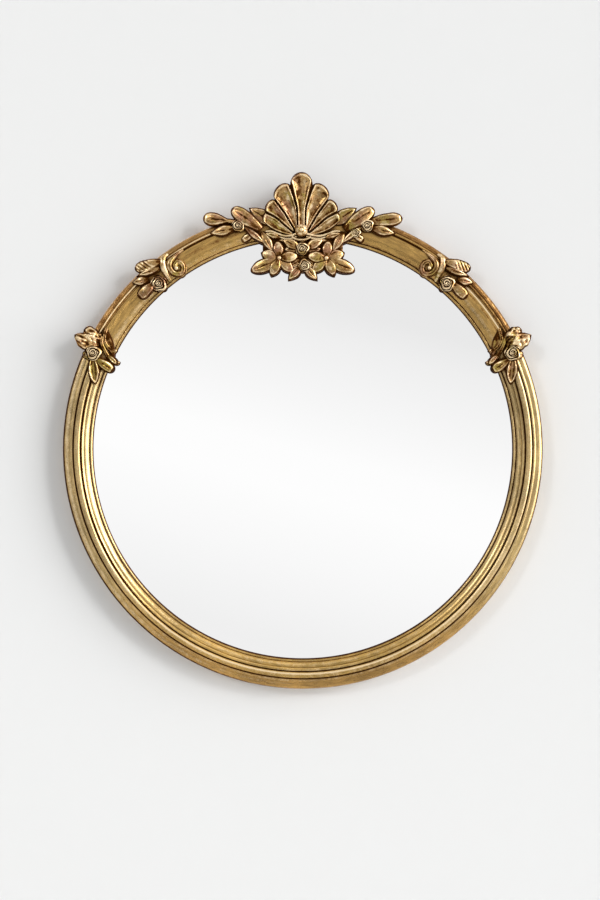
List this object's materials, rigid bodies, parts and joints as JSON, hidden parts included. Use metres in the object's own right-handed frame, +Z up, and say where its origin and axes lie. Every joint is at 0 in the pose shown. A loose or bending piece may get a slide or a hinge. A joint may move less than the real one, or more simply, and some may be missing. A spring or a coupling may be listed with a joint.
{
  "type": "wall mirror",
  "caption": "Round wall mirror in a gilt moulded ring, with a fluted shell crest, leaf sprays, scrolls and roses over the upper arch.",
  "frame": {"origin": "centre of the ring on the wall plane", "axes": "+Z up, +Y into the wall, -Y towards the room, +X to the right of someone facing the glass"},
  "size_m": [0.61, 0.04, 0.6568],
  "materials": {
    "gilt_moulding": "aged gold leaf over gesso with a brown glaze in the quirks",
    "gilt_casting": "aged gold on cast composition, rubbed bright on the high edges",
    "dowel_wood": "bare beech",
    "mirror": "silvered plate with ground edges",
    "board": "brown hardboard",
    "steel": "zinc plated"
  },
  "bodies": {
    "frame": {"backing_board": "board", "crest_base": "gilt_casting", "crest_bottom_leaves": "gilt_casting", "crest_bunch_leaf_left": "gilt_casting", "crest_bunch_leaf_right": "gilt_casting", "crest_collar": "gilt_casting", "crest_flank_leaves": "gilt_casting", "crest_flower_left": "gilt_casting", "crest_flower_right": "gilt_casting", "crest_pearl": "gilt_casting", "crest_rose_lower": "gilt_casting", "crest_rose_upper": "gilt_casting", "crest_shell": "gilt_casting", "crest_wing_left": "gilt_casting", "crest_wing_right": "gilt_casting", "frame_dowels": "dowel_wood", "hanger_screws": "steel", "hanger_strap_left": "steel", "hanger_strap_right": "steel", "low_ear_left": "gilt_casting", "low_ear_right": "gilt_casting", "low_leaves_left": "gilt_casting", "low_leaves_right": "gilt_casting", "low_rose_left": "gilt_casting", "low_rose_right": "gilt_casting", "low_scroll_leaf_left": "gilt_casting", "low_scroll_leaf_right": "gilt_casting", "lower_moulding": "gilt_moulding", "mid_ear_left": "gilt_casting", "mid_ear_right": "gilt_casting", "mid_leaves_left": "gilt_casting", "mid_leaves_right": "gilt_casting", "mid_rose_left": "gilt_casting", "mid_rose_right": "gilt_casting", "mid_scroll_left": "gilt_casting", "mid_scroll_right": "gilt_casting", "mirror_glass": "mirror", "spray_inner_leaf_left": "gilt_casting", "spray_inner_leaf_right": "gilt_casting", "spray_outer_leaves_left": "gilt_casting", "spray_outer_leaves_right": "gilt_casting", "spray_rose_left": "gilt_casting", "spray_rose_right": "gilt_casting", "spray_small_rose_right": "gilt_casting", "spray_stem_leaves_left": "gilt_casting", "spray_stem_leaves_right": "gilt_casting", "turn_button_screws": "steel", "upper_moulding": "gilt_moulding"},
    "turn_button_1": {"turn_button_1": "steel"},
    "turn_button_2": {"turn_button_2": "steel"},
    "turn_button_3": {"turn_button_3": "steel"},
    "turn_button_4": {"turn_button_4": "steel"},
    "turn_button_5": {"turn_button_5": "steel"},
    "turn_button_6": {"turn_button_6": "steel"},
    "hanger_ring_left": {"hanger_ring_left": "steel"},
    "hanger_ring_right": {"hanger_ring_right": "steel"}
  },
  "joints": [
    {"name": "turn_button_1_pivot", "type": "hinge", "parent": "frame", "child": "turn_button_1", "pos_m": [0.287, -0.007, 0], "axis": [0, 1, 0], "range_deg": [-110, 110]},
    {"name": "turn_button_2_pivot", "type": "hinge", "parent": "frame", "child": "turn_button_2", "pos_m": [0.1435, -0.007, 0.24855], "axis": [0, 1, 0], "range_deg": [-110, 110]},
    {"name": "turn_button_3_pivot", "type": "hinge", "parent": "frame", "child": "turn_button_3", "pos_m": [-0.1435, -0.007, 0.24855], "axis": [0, 1, 0], "range_deg": [-110, 110]},
    {"name": "turn_button_4_pivot", "type": "hinge", "parent": "frame", "child": "turn_button_4", "pos_m": [-0.287, -0.007, 0], "axis": [0, 1, 0], "range_deg": [-110, 110]},
    {"name": "turn_button_5_pivot", "type": "hinge", "parent": "frame", "child": "turn_button_5", "pos_m": [-0.1435, -0.007, -0.24855], "axis": [0, 1, 0], "range_deg": [-110, 110]},
    {"name": "turn_button_6_pivot", "type": "hinge", "parent": "frame", "child": "turn_button_6", "pos_m": [0.1435, -0.007, -0.24855], "axis": [0, 1, 0], "range_deg": [-110, 110]},
    {"name": "hanger_ring_left_swing", "type": "hinge", "parent": "frame", "child": "hanger_ring_left", "pos_m": [-0.22616, -0.00467, 0.17669], "axis": [-0.788, 0, 0.6157], "range_deg": [0, 170]},
    {"name": "hanger_ring_right_swing", "type": "hinge", "parent": "frame", "child": "hanger_ring_right", "pos_m": [0.22616, -0.00467, 0.17669], "axis": [-0.788, 0, -0.6157], "range_deg": [0, 170]}
  ]
}
